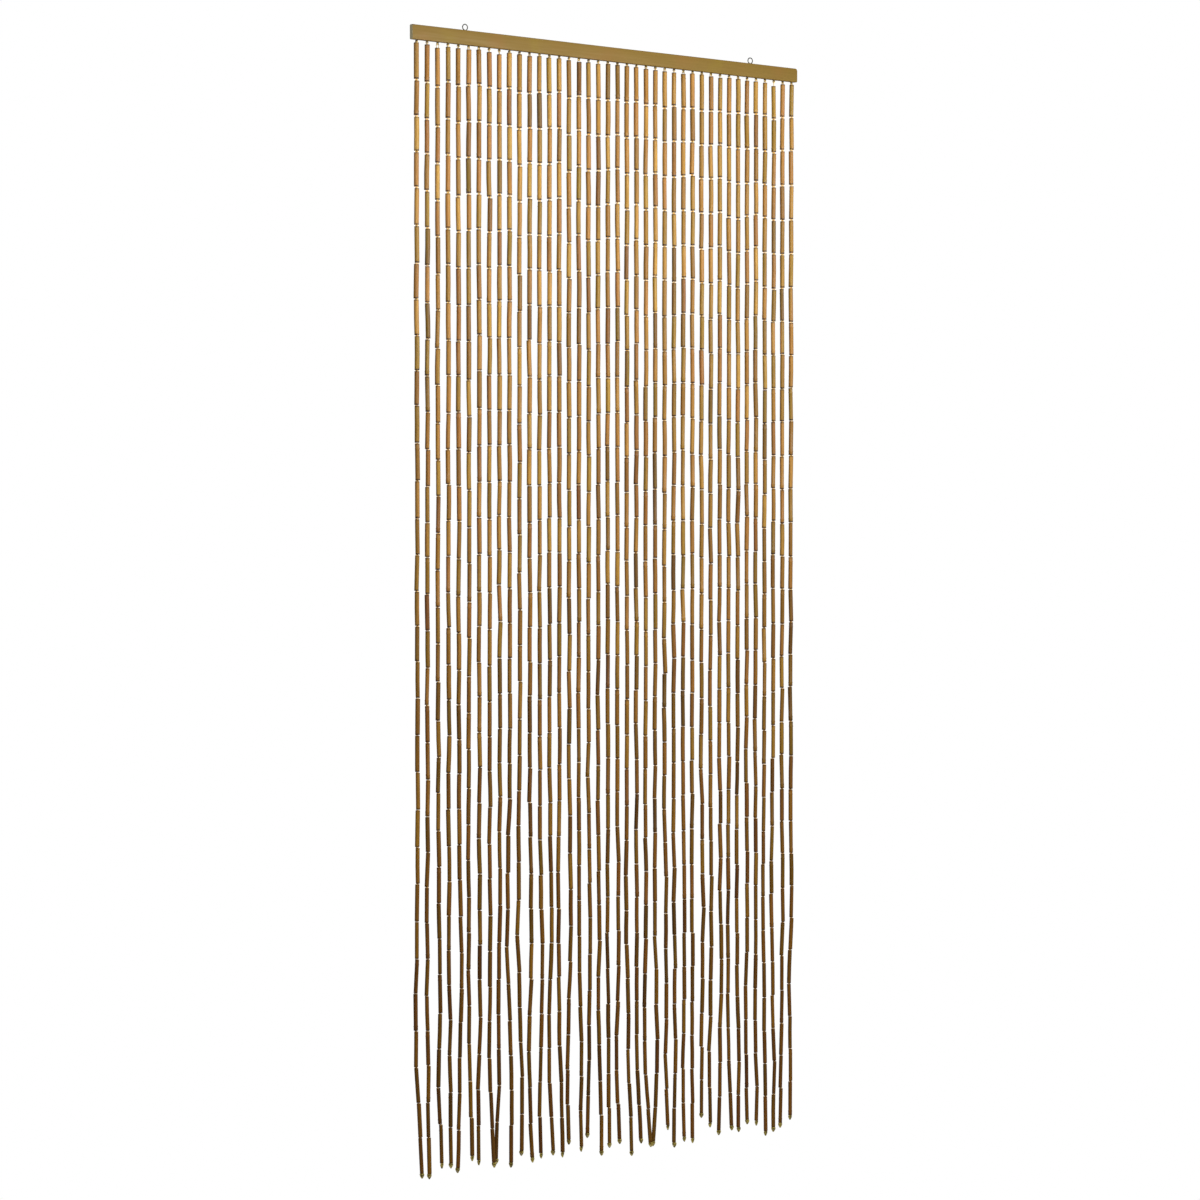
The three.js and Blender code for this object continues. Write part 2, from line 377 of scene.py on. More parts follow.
def joined(*shapes: Shape) -> Shape:
    """Joins plain shapes, which hold no attributes, into one.

    Args:
        *shapes: The shapes.

    Returns:
        One shape with all of their vertices and faces.
    """
    whole = Shape([])
    for shape in shapes:
        start = len(whole.points)
        whole.points += shape.points
        whole.faces += [tuple(start + index for index in face) for face in shape.faces]
    return whole


def turned(path: Iterable[Vector], degrees: float) -> list[Vector]:
    """The points of a path, turned about the upright axis."""
    turn = Matrix.Rotation(math.radians(degrees), 3, "Z")
    return [turn @ point for point in path]


def smoothed(path: Sequence[Vector], steps: int) -> list[Vector]:
    """Runs a smooth curve through the points of a path.

    Args:
        path: The points.
        steps: How many runs each stretch between two points is cut into.

    Returns:
        The curve's points, ends included.
    """
    ends = [path[0], *path, path[-1]]
    curve = []
    for before, start, end, after in zip(ends, ends[1:], ends[2:], ends[3:]):
        leave = (end - before) / 2
        arrive = (after - start) / 2
        for step in range(steps):
            share = step / steps
            rise = share * share * (3 - 2 * share)
            out = share * (1 - share) * (1 - share)
            back = share * share * (share - 1)
            curve.append(start * (1 - rise) + end * rise + leave * out + arrive * back)
    return [*curve, path[-1]]


def arc(radius: float, degrees: Span, steps: int) -> list[Vector]:
    """Points of an arc about the origin, in the upright plane that faces the front.

    Args:
        radius: The arc's radius.
        degrees: Its first and its last angle, counted from +X towards +Z.
        steps: How many runs it is cut into.

    Returns:
        The points, ends included.
    """
    start, end = degrees
    angles = [math.radians(start + (end - start) * step / steps) for step in range(steps + 1)]
    return [Vector((radius * math.cos(angle), 0, radius * math.sin(angle))) for angle in angles]


def loop_of(leg: Iterable[Span], lift: float = 0.0) -> list[Vector]:
    """A wire loop with two even legs, from its right leg in millimetres across and up, lifted by so many metres."""
    right = [Vector((across * MM, 0, lift + up * MM)) for across, up in leg]
    return [Vector((-point.x, 0, point.z)) for point in reversed(right)] + right


# Node trees


class Graph:
    """Adds nodes to one node tree and links them. A source is an output of the tree or a plain value."""

    def __init__(self, tree: Tree) -> None:
        """Starts on a tree whose old nodes, if any, are removed."""
        self.tree = tree
        tree.nodes.clear()

    def add(self, kind: str, sources: Sources | None = None, **settings: object) -> bpy.types.Node:
        """Adds a node.

        Args:
            kind: The node's type.
            sources: What goes into its inputs, by their names or numbers.
            **settings: Its settings by property name.

        Returns:
            The node.
        """
        node = self.tree.nodes.new(kind)
        for key, value in settings.items():
            setattr(node, key, value)
        self.feed(node, sources or {})
        return node

    def feed(self, node: bpy.types.Node, sources: Sources) -> None:
        """Links sources to a node's inputs, or sets the inputs where the sources are plain.

        Args:
            node: The node.
            sources: What goes into its inputs, by their names or numbers. A plain colour gets full alpha.
        """
        for key, source in sources.items():
            socket = node.inputs[key]
            if isinstance(source, Socket):
                self.tree.links.new(source, socket)
            else:
                socket.default_value = (*source, 1.0) if socket.type == "RGBA" else source

    def math(self, operation: str, *sources: object) -> Socket:
        """The result of a sum on numbers."""
        return self.add("ShaderNodeMath", dict(enumerate(sources)), operation=operation).outputs[0]

    def vector(self, operation: str, *sources: object, output: int = 0) -> Socket:
        """The result of a sum on vectors: output 0 where it is a vector, 1 where it is a number."""
        return self.add("ShaderNodeVectorMath", dict(enumerate(sources)), operation=operation).outputs[output]

    def combined(self, *parts: object) -> Socket:
        """The vector that has these three parts."""
        return self.add("ShaderNodeCombineXYZ", dict(enumerate(parts))).outputs[0]

    def parts(self, vector: Socket) -> bpy.types.NodeOutputs:
        """The three parts of a vector."""
        return self.add("ShaderNodeSeparateXYZ", {0: vector}).outputs

    def ramp(self, value: object, low: float, high: float, start: object, end: object) -> Socket:
        """Maps a number smoothly from the span of low to high into the span of start to end."""
        sources = dict(enumerate((value, low, high, start, end)))
        return self.add("ShaderNodeMapRange", sources, interpolation_type="SMOOTHSTEP").outputs[0]

    def mix(self, factor: object, first: object, second: object, blend: str = "MIX") -> Socket:
        """Mixes two colours. The factor is the share of the second."""
        sources = {0: factor, 6: first, 7: second}
        return self.add("ShaderNodeMix", sources, data_type="RGBA", blend_type=blend).outputs[2]

    def noise(self, dimensions: str, **sources: object) -> Socket:
        """Soft noise, with sources by the names of its inputs."""
        return self.add("ShaderNodeTexNoise", sources, noise_dimensions=dimensions).outputs[0]

    def group(self, tree: Tree, **sources: object) -> bpy.types.NodeOutputs:
        """The outputs of a shader group, with sources by the names of its inputs."""
        return self.add("ShaderNodeGroup", sources, node_tree=tree).outputs

    def bump(self, height: Socket, strength: float, depth: float) -> Socket:
        """The normals of a surface that a height raises by so many metres."""
        return self.add("ShaderNodeBump", {"Height": height, "Strength": strength, "Distance": depth}).outputs[0]

    def surface(self, sources: Sources) -> None:
        """Ends a material in one plain shader."""
        shader = self.add("ShaderNodeBsdfPrincipled", sources)
        self.add("ShaderNodeOutputMaterial", {"Surface": shader.outputs[0]})

    def by_ray(self, lit: bpy.types.Node, seen: bpy.types.Node) -> Socket:
        """Shows the camera the second shader, and all other rays the first."""
        camera = self.add("ShaderNodeLightPath").outputs["Is Camera Ray"]
        return self.add("ShaderNodeMixShader", {0: camera, 1: lit.outputs[0], 2: seen.outputs[0]}).outputs[0]


def new_group(name: str, kind: str, inputs: Mapping[str, str], outputs: Mapping[str, str]) -> Tree:
    """Makes a node group with named sockets.

    Args:
        name: The group's name.
        kind: The tree's type.
        inputs: The type of each input, by its name.
        outputs: The type of each output, by its name.

    Returns:
        The group, which has no nodes yet.
    """
    tree = bpy.data.node_groups.new(name, kind)
    for side, sockets in (("INPUT", inputs), ("OUTPUT", outputs)):
        for label, socket_kind in sockets.items():
            tree.interface.new_socket(label, in_out=side, socket_type=f"NodeSocket{socket_kind}")
    return tree


def new_material(name: str) -> tuple[Material, Graph]:
    """Starts a material.

    Args:
        name: The material's name.

    Returns:
        The material, and a graph on its nodes.
    """
    material = bpy.data.materials.new(name)
    material.use_nodes = True
    return material, Graph(material.node_tree)


def srgb(*parts: int) -> Colour:
    """A display colour, with its parts from 0 to 255, as a linear one."""
    shares = [part / 255 for part in parts]
    return tuple(share / 12.92 if share <= 0.04045 else ((share + 0.055) / 1.055) ** 2.4 for share in shares)


# Shader groups that more than one finish uses, each made once

# The spans of noise that they spread out, and how much broad fibres add to the height
FIBRE_NOISE: Span = (0.3, 0.7)
PATCH_NOISE: Span = (0.4, 0.65)
BROAD_HEIGHT = 0.6


@cache
def fibre_group() -> Tree:
    """Long fine fibres along the last axis of a vector, as in wood and bamboo.

    Returns:
        A group that turns a vector into a shade from 0 to 1 and a height.
    """
    inputs = {"Vector": "Vector", "Across": "Float", "Along": "Float", "Chance": "Float"}
    graph = Graph(new_group("long_fibres", "ShaderNodeTree", inputs, {"Shade": "Float", "Height": "Float"}))
    given = graph.add("NodeGroupInput").outputs
    stretch = graph.combined(given["Across"], given["Across"], given["Along"])
    where = {"Vector": graph.vector("MULTIPLY", given["Vector"], stretch), "W": given["Chance"]}
    broad = graph.noise("4D", **where, Scale=1.0, Detail=3.0, Roughness=0.6)
    fine = graph.noise("4D", **where, Scale=5.0, Detail=2.0)
    height = graph.math("ADD", graph.math("MULTIPLY", broad, BROAD_HEIGHT), fine)
    graph.add("NodeGroupOutput", {"Shade": graph.ramp(broad, *FIBRE_NOISE, 0.0, 1.0), "Height": height})
    return graph.tree


@cache
def patch_group() -> Tree:
    """Soft dull patches on metal wire.

    Returns:
        A group that turns a vector into a mask of dull patches.
    """
    inputs = {"Vector": "Vector", "Size": "Float"}
    graph = Graph(new_group("dull_patches", "ShaderNodeTree", inputs, {"Mask": "Float"}))
    given = graph.add("NodeGroupInput").outputs
    noise = graph.noise("3D", Vector=given["Vector"], Scale=given["Size"], Detail=3.0)
    graph.add("NodeGroupOutput", {"Mask": graph.ramp(noise, *PATCH_NOISE, 0.0, 1.0)})
    return graph.tree


# Finishes


@dataclass(frozen=True)
class BambooFinish:
    """Stained, thinly varnished bamboo, each tube in its own tone, with long fibres and darker ends, and with
    painted shade that darkens it towards the feet.

    Fibres have a fineness across and one along. Tints are spans of a tube's chance, and shares say how much of a
    colour shows at the two ends of such a span. Dark-end spans are heights on a tube, from -1 to 1.
    """

    tones: tuple[tuple[float, Colour], ...] = (
        (0.0, srgb(101, 69, 29)),
        (0.1, srgb(132, 94, 41)),
        (0.3, srgb(152, 107, 49)),
        (0.5, srgb(153, 117, 46)),
        (0.7, srgb(167, 118, 56)),
        (0.88, srgb(175, 133, 60)),
        (1.0, srgb(188, 146, 66)),
    )
    moss: Colour = srgb(128, 109, 34)
    moss_tints: Span = (0.0, 0.7)
    moss_shares: Span = (0.75, 0.15)
    rust: Colour = srgb(150, 92, 51)
    rust_tints: Span = (0.45, 1.0)
    rust_shares: Span = (0.12, 0.6)
    tubes_apart: float = 90.0
    sides_apart: float = 41.0
    side_fibres: Span = (0.75, 0.2)
    fine_fibres: Span = (3.2, 0.8)
    fibre_light: Span = (0.845, 1.17)
    # Painted shade: how far the colour darkens at the feet, for light that falls off down the curtain, and where
    # that starts
    foot_shade: Colour = (0.55, 0.42, 0.03)
    shaded_from: float = 0.12
    # Darker tube ends, darker at the foot than at the top: their colour, the heights where they start, and their
    # shares
    burnt: Colour = srgb(54, 32, 12)
    burnt_foot: Span = (-0.89, -0.95)
    burnt_top: Span = (0.91, 0.97)
    burnt_top_share: float = 0.8
    burnt_side_shares: Span = (0.6, 1.0)
    burnt_less_from: float = 0.3
    burnt_at_feet_share: float = 0.5
    cut: Colour = srgb(232, 192, 130)
    cut_edge: Span = (0.25, 0.6)
    roughness: Span = (0.46, 0.6)
    cut_roughness: float = 0.8
    specular: float = 0.3
    coat: float = 0.04
    bump_strength: float = 0.25
    bump_depth: float = 0.15 * MM

    def material(self) -> Material:
        """Makes the material.

        It reads the attributes skin, a point on a unit tube with its height from -1 to 1, cut, which is 1 on the
        sawn faces, tone and tint, one chance each for a tube, and low, from 0 at the rail to 1 at the feet.

        Returns:
            The material.
        """
        material, graph = new_material("bamboo_stained")
        skin = graph.add("ShaderNodeAttribute", attribute_name="skin").outputs["Vector"]
        cut, tone, tint, low = (
            graph.add("ShaderNodeAttribute", attribute_name=name).outputs["Fac"]
            for name in ("cut", "tone", "tint", "low")
        )
        chance = graph.math("MULTIPLY", tint, self.tubes_apart)
        other = graph.math("ADD", chance, self.sides_apart)
        green_side = self._fibres(graph, skin, self.side_fibres, chance)["Shade"]
        red_side = self._fibres(graph, skin, self.side_fibres, other)["Shade"]
        fine = self._fibres(graph, skin, self.fine_fibres, chance)
        mossy = graph.math("MULTIPLY", graph.ramp(tint, *self.moss_tints, *self.moss_shares), green_side)
        rusty = graph.math("MULTIPLY", graph.ramp(tint, *self.rust_tints, *self.rust_shares), red_side)
        base = graph.mix(mossy, self._palette(graph, tone), self.moss)
        base = graph.mix(rusty, base, self.rust)
        # Painted shade: the colour darkens towards the feet, in place of light that falls off down the curtain
        painted_shaded = graph.mix(1.0, base, self.foot_shade, "MULTIPLY")
        base = graph.mix(graph.ramp(low, self.shaded_from, 1.0, 0.0, 1.0), base, painted_shaded)
        light = graph.ramp(fine["Shade"], 0.0, 1.0, *self.fibre_light)
        base = graph.mix(1.0, base, graph.combined(light, light, light), "MULTIPLY")
        # Darker tube ends, darker at each tube's foot than at its top, and less dark lower down the curtain
        lower = graph.ramp(low, self.burnt_less_from, 1.0, 1.0, self.burnt_at_feet_share)
        dark_ends = graph.math("MULTIPLY", graph.ramp(green_side, 0.0, 1.0, *self.burnt_side_shares), lower)
        height = graph.parts(skin)[2]
        near_foot = graph.ramp(height, *self.burnt_foot, 0.0, dark_ends)
        near_top = graph.ramp(height, *self.burnt_top, 0.0, graph.math("MULTIPLY", dark_ends, self.burnt_top_share))
        base = graph.mix(graph.math("MAXIMUM", near_foot, near_top), base, self.burnt)
        sawn = graph.ramp(cut, *self.cut_edge, 0.0, 1.0)
        rough = graph.ramp(fine["Shade"], 0.0, 1.0, *self.roughness)
        sawn_rough = graph.math("MULTIPLY", sawn, self.cut_roughness)
        graph.surface({
            "Base Color": graph.mix(sawn, base, self.cut),
            "Roughness": graph.math("MAXIMUM", rough, sawn_rough),
            "Specular IOR Level": self.specular,
            "Coat Weight": self.coat,
            "Normal": graph.bump(fine["Height"], self.bump_strength, self.bump_depth),
        })
        return material

    def _palette(self, graph: Graph, tone: Socket) -> Socket:
        """Picks a tube's tone.

        Args:
            graph: The material's graph.
            tone: The tube's chance.

        Returns:
            The tone.
        """
        palette = graph.add("ShaderNodeValToRGB", {0: tone})
        stops = palette.color_ramp.elements
        while len(stops) < len(self.tones):
            stops.new(0.5)
        for stop, (place, colour) in zip(stops, self.tones):
            stop.position = place
            stop.color = (*colour, 1.0)
        return palette.outputs[0]

    @staticmethod
    def _fibres(graph: Graph, skin: Socket, fineness: Span, chance: Socket) -> bpy.types.NodeOutputs:
        """The fibre group on the skin of a tube, as fine across and along as said, set apart by a chance."""
        across, along = fineness
        return graph.group(fibre_group(), Vector=skin, Across=across, Along=along, Chance=chance)


@dataclass(frozen=True)
class RailFinish:
    """A planed softwood slat under an even ochre-brown stain, with faint grain along it and darker long edges.

    Top and foot are its heights, and the spans of patches are those of the noise in which a patch comes up.
    """

    top: float
    foot: float
    stain: Colour = srgb(122, 97, 38)
    grain: Colour = srgb(113, 89, 33)
    grain_across: float = 330.0
    grain_along: float = 12.0
    grain_share: float = 0.55
    warm: Colour = srgb(127, 92, 41)
    warm_patches: Span = (0.5, 0.72)
    yellow: Colour = srgb(125, 105, 31)
    yellow_patches: Span = (0.46, 0.3)
    patch_scale: float = 9.0
    patch_share: float = 0.6
    edge: Colour = srgb(86, 62, 32)
    edge_width: float = 1.3 * MM
    edge_share: float = 0.55
    end: Colour = srgb(190, 182, 150)
    end_facing: Span = (0.8, 0.97)
    end_share: float = 0.85
    roughness: Span = (0.48, 0.63)
    specular: float = 0.3
    bump_strength: float = 0.3
    bump_depth: float = 0.2 * MM

    def material(self) -> Material:
        """Makes the material, whose grain runs along X in object coordinates.

        Returns:
            The material.
        """
        material, graph = new_material("rail_stained")
        place = graph.add("ShaderNodeTexCoord").outputs["Object"]
        x, y, z = graph.parts(place)
        grain = {"Vector": graph.combined(y, z, x), "Across": self.grain_across, "Along": self.grain_along}
        fibres = graph.group(fibre_group(), **grain)
        patches = graph.noise("3D", Vector=place, Scale=self.patch_scale, Detail=2.0)
        base = graph.mix(graph.math("MULTIPLY", fibres["Shade"], self.grain_share), self.stain, self.grain)
        base = graph.mix(graph.ramp(patches, *self.warm_patches, 0.0, self.patch_share), base, self.warm)
        base = graph.mix(graph.ramp(patches, *self.yellow_patches, 0.0, self.patch_share), base, self.yellow)
        to_edge = graph.math("MINIMUM", graph.math("SUBTRACT", self.top, z), graph.math("SUBTRACT", z, self.foot))
        base = graph.mix(graph.ramp(to_edge, 0.0, self.edge_width, self.edge_share, 0.0), base, self.edge)
        facing = graph.parts(graph.add("ShaderNodeNewGeometry").outputs["Normal"])[0]
        at_end = graph.ramp(graph.math("ABSOLUTE", facing), *self.end_facing, 0.0, self.end_share)
        graph.surface({
            "Base Color": graph.mix(at_end, base, self.end),
            "Roughness": graph.ramp(fibres["Shade"], 0.0, 1.0, *self.roughness),
            "Specular IOR Level": self.specular,
            "Normal": graph.bump(fibres["Height"], self.bump_strength, self.bump_depth),
        })
        return material


@dataclass(frozen=True)
class WireFinish:
    """Drawn metal wire with soft dull patches."""

    name: str
    bright: Colour
    dull: Colour
    roughness: float
    metallic: float = 1.0
    patch_size: float = 220.0
    dull_roughness: float = 0.2

    def material(self) -> Material:
        """Makes the material.

        Returns:
            The material.
        """
        material, graph = new_material(self.name)
        place = graph.add("ShaderNodeTexCoord").outputs["Object"]
        mask = graph.group(patch_group(), Vector=place, Size=self.patch_size)["Mask"]
        graph.surface({
            "Base Color": graph.mix(mask, self.bright, self.dull),
            "Metallic": self.metallic,
            "Roughness": graph.ramp(mask, 0.0, 1.0, self.roughness, self.roughness + self.dull_roughness),
        })
        return material


LINK_BRASS = WireFinish("link_brass", srgb(246, 214, 140), srgb(238, 192, 108), 0.5, metallic=0.15)
ROOT_BRONZE = WireFinish("root_bronze", srgb(112, 94, 44), srgb(66, 48, 24), 0.5, metallic=0.2)
ROOT_BRASS = WireFinish("root_brass", srgb(236, 206, 140), srgb(170, 150, 100), 0.5, metallic=0.15)
HOOK_BRASS = WireFinish("hook_brass", srgb(206, 188, 92), srgb(122, 106, 44), 0.45, metallic=0.15)
EYE_STEEL = WireFinish("eye_steel", srgb(64, 64, 55), srgb(45, 45, 38), 0.45)


# Geometry Nodes trees, each made once


class Growth(Graph):
    """A Geometry Nodes tree that sets shapes on points and ends in one mesh in one material."""

    def __init__(self, name: str, inputs: Mapping[str, str]) -> None:
        """Makes the tree.

        Args:
            name: The tree's name.
            inputs: The type of each input, by its name, apart from the geometry, the seed and the material.
        """
        inputs = {"Geometry": "Geometry", **inputs, "Seed": "Int", "Material": "Material"}
        super().__init__(new_group(name, "GeometryNodeTree", inputs, {"Geometry": "Geometry"}))
        self.given = self.add("NodeGroupInput").outputs

    def seed(self, draw: Draw) -> Socket:
        """The tree's seed, shifted for one draw."""
        return self.math("ADD", self.given["Seed"], float(draw.value))

    def chance(self, draw: Draw, spread: object, middle: object = 0.0) -> Socket:
        """An even chance for each point, which reaches as far as its spread to both sides of its middle."""
        node = self.add("FunctionNodeRandomValue", {2: -1.0, 3: 1.0, "Seed": self.seed(draw)}, data_type="FLOAT")
        return self.math("MULTIPLY_ADD", node.outputs[1], spread, middle)

    def named(self, name: str, kind: str = "FLOAT") -> Socket:
        """A named attribute of the points."""
        return self.add("GeometryNodeInputNamedAttribute", {"Name": name}, data_type=kind).outputs["Attribute"]

    def along(self, way: Socket) -> Socket:
        """The rotation that turns a shape's Z axis along a way."""
        return self.add("FunctionNodeAlignRotationToVector", {"Vector": way}, axis="Z").outputs[0]

    def turn(self, rotation: Socket, axis: Vector, angle: Socket) -> Socket:
        """Turns a rotation about one of its own axes.

        Args:
            rotation: The rotation.
            axis: The axis, in the rotation's own frame.
            angle: The angle in radians.

        Returns:
            The turned rotation.
        """
        about = self.add("FunctionNodeAxisAngleToRotation", {"Axis": axis, "Angle": angle}).outputs[0]
        sources = {"Rotation": rotation, "Rotate By": about}
        return self.add("FunctionNodeRotateRotation", sources, rotation_space="LOCAL").outputs[0]

    def ended(self, instances: Socket) -> Tree:
        """Ends the tree in one mesh of all instances, in the given material.

        Args:
            instances: The instances.

        Returns:
            The tree.
        """
        real = self.add("GeometryNodeRealizeInstances", {0: instances}).outputs[0]
        dressed = self.add("GeometryNodeSetMaterial", {"Geometry": real, "Material": self.given["Material"]})
        self.add("NodeGroupOutput", {0: dressed.outputs[0]})
        return self.tree


@cache
def tube_tree() -> Tree:
    """Sets a tube of one of several shapes on each run of a strand's line.

    Returns:
        A tree whose inputs are the tube shapes, their number, length and girth, and how unevenly they sit. It
        reads the lines' attribute low, from 0 at the rail to 1 at the feet.
    """
    floats = ("Tube Length", "Length Spread", "Girth At Rail", "Girth At Feet", "Girth Spread", "Side Slip", "Tilt")
    inputs = {"Tube Shapes": "Collection", "Last Shape": "Int", **dict.fromkeys(floats, "Float")}
    graph = Growth("tubes_on_strands", inputs)
    given = graph.given
    ends = graph.add("GeometryNodeInputMeshEdgeVertices").outputs
    held = graph.add("GeometryNodeCaptureAttribute", domain="EDGE")
    held.capture_items.new("VECTOR", "Run")
    way = graph.vector("SUBTRACT", ends["Position 1"], ends["Position 2"])
    graph.feed(held, {"Geometry": given["Geometry"], "Run": way})
    run = held.outputs["Run"]
    spots = graph.add("GeometryNodeMeshToPoints", {"Mesh": held.outputs["Geometry"]}, mode="EDGES")
    length = graph.chance(Draw.LENGTH, given["Length Spread"], graph.vector("LENGTH", run, output=1))
    taper = graph.math("SUBTRACT", given["Girth At Feet"], given["Girth At Rail"])
    usual = graph.math("MULTIPLY_ADD", graph.named("low"), taper, given["Girth At Rail"])
    girth = graph.chance(Draw.GIRTH, given["Girth Spread"], usual)
    aside, back = (graph.chance(draw, given["Side Slip"]) for draw in (Draw.ASIDE, Draw.BACK))
    slip = {"Geometry": spots.outputs["Points"], "Offset": graph.combined(aside, back, 0.0)}
    tilted = graph.turn(graph.along(run), Vector((1, 0, 0)), graph.chance(Draw.TILT, given["Tilt"]))
    shapes = {"Collection": given["Tube Shapes"], "Separate Children": True, "Reset Children": True}
    pick = {4: 0, 5: given["Last Shape"], "Seed": graph.seed(Draw.SHAPE)}
    marked = graph.add("GeometryNodeInstanceOnPoints", {
        "Points": graph.add("GeometryNodeSetPosition", slip).outputs[0],
        "Instance": graph.add("GeometryNodeCollectionInfo", shapes).outputs[0],
        "Pick Instance": True,
        "Instance Index": graph.add("FunctionNodeRandomValue", pick, data_type="INT").outputs[2],
        "Rotation": graph.turn(tilted, UP, graph.chance(Draw.SPIN, math.pi)),
        "Scale": graph.combined(girth, girth, graph.math("DIVIDE", length, given["Tube Length"])),
    }).outputs[0]
    for draw in (Draw.TONE, Draw.TINT):
        mark = {"Geometry": marked, "Name": draw.name.lower(), "Value": graph.chance(draw, 0.5, 0.5)}
        store = graph.add("GeometryNodeStoreNamedAttribute", data_type="FLOAT", domain="INSTANCE")
        graph.feed(store, mark)
        marked = store.outputs[0]
    return graph.ended(marked)


@cache
def fitting_tree() -> Tree:
    """Sets one wire shape on each point, upright along the point's attribute hang and as big as its size says.

    Returns:
        A tree whose inputs are the wire shape, how it is turned about the strand, and by how much that varies.
    """
    inputs = {"Fitting": "Object", "Turn": "Float", "Turn Spread": "Float", "Size Spread": "Float"}
    graph = Growth("fittings_on_points", inputs)
    given = graph.given
    angle = graph.chance(Draw.FITTING, given["Turn Spread"], given["Turn"])
    spots = graph.add("GeometryNodeMeshToPoints", {"Mesh": given["Geometry"]}, mode="VERTICES")
    placed = graph.add("GeometryNodeInstanceOnPoints", {
        "Points": spots.outputs["Points"],
        "Instance": graph.add("GeometryNodeObjectInfo", {"Object": given["Fitting"]}).outputs["Geometry"],
        "Rotation": graph.turn(graph.along(graph.named("hang", "FLOAT_VECTOR")), UP, angle),
        "Scale": graph.chance(Draw.FITTING, given["Size Spread"], graph.named("size")),
    })
    return graph.ended(placed.outputs[0])


# Objects


def put(name: str, data: bpy.types.ID) -> bpy.types.Object:
    """Puts data in the scene as an object at the origin.

    Args:
        name: The object's name.
        data: Its mesh, light or camera.

    Returns:
        The object.
    """
    thing = bpy.data.objects.new(name, data)
    bpy.context.scene.collection.objects.link(thing)
    return thing


def aimed(name: str, data: bpy.types.ID, place: Sequence[float], look: Vector) -> bpy.types.Object:
    """Puts a light or a camera in the scene.

    Args:
        name: The object's name.
        data: Its light or camera.
        place: Where it stands.
        look: The way that it looks.

    Returns:
        The object.
    """
    thing = put(name, data)
    thing.location = place
    thing.rotation_mode = "QUATERNION"
    thing.rotation_quaternion = look.to_track_quat("-Z", "Y")
    return thing


def grown(name: str, mesh: bpy.types.Mesh, tree: Tree, settings: Mapping[str, object]) -> bpy.types.Object:
    """Runs a Geometry Nodes tree over a mesh and keeps the result as a plain mesh object.

    Args:
        name: The new object's name.
        mesh: What the tree starts from. It is removed afterwards.
        tree: The tree.
        settings: Its inputs by name.

    Returns:
        The new object, at the origin, with no modifier.
    """
    carrier = put(f"{name}_lines", mesh)
    modifier = carrier.modifiers.new("grow", "NODES")
    modifier.node_group = tree
    sockets = {item.name: item.identifier for item in tree.interface.items_tree if item.in_out == "INPUT"}
    for label, value in settings.items():
        modifier[sockets[label]] = value
    graph = bpy.context.evaluated_depsgraph_get()
    made = bpy.data.meshes.new_from_object(
        carrier.evaluated_get(graph), preserve_all_data_layers=True, depsgraph=graph
    )
    bpy.data.objects.remove(carrier)
    bpy.data.meshes.remove(mesh)
    made.name = name
    return put(name, made)


def keep(piece: bpy.types.Object, slot: str, *nodes: str) -> None:
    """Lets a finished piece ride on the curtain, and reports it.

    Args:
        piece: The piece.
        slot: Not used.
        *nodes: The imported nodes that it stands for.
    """
    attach(piece, BODY)
    if nodes:
        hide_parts(*nodes)
    piece.data.calc_loop_triangles()
    LOG.info("%s: %d triangles", piece.name, len(piece.data.loop_triangles))


# Sub-assemblies


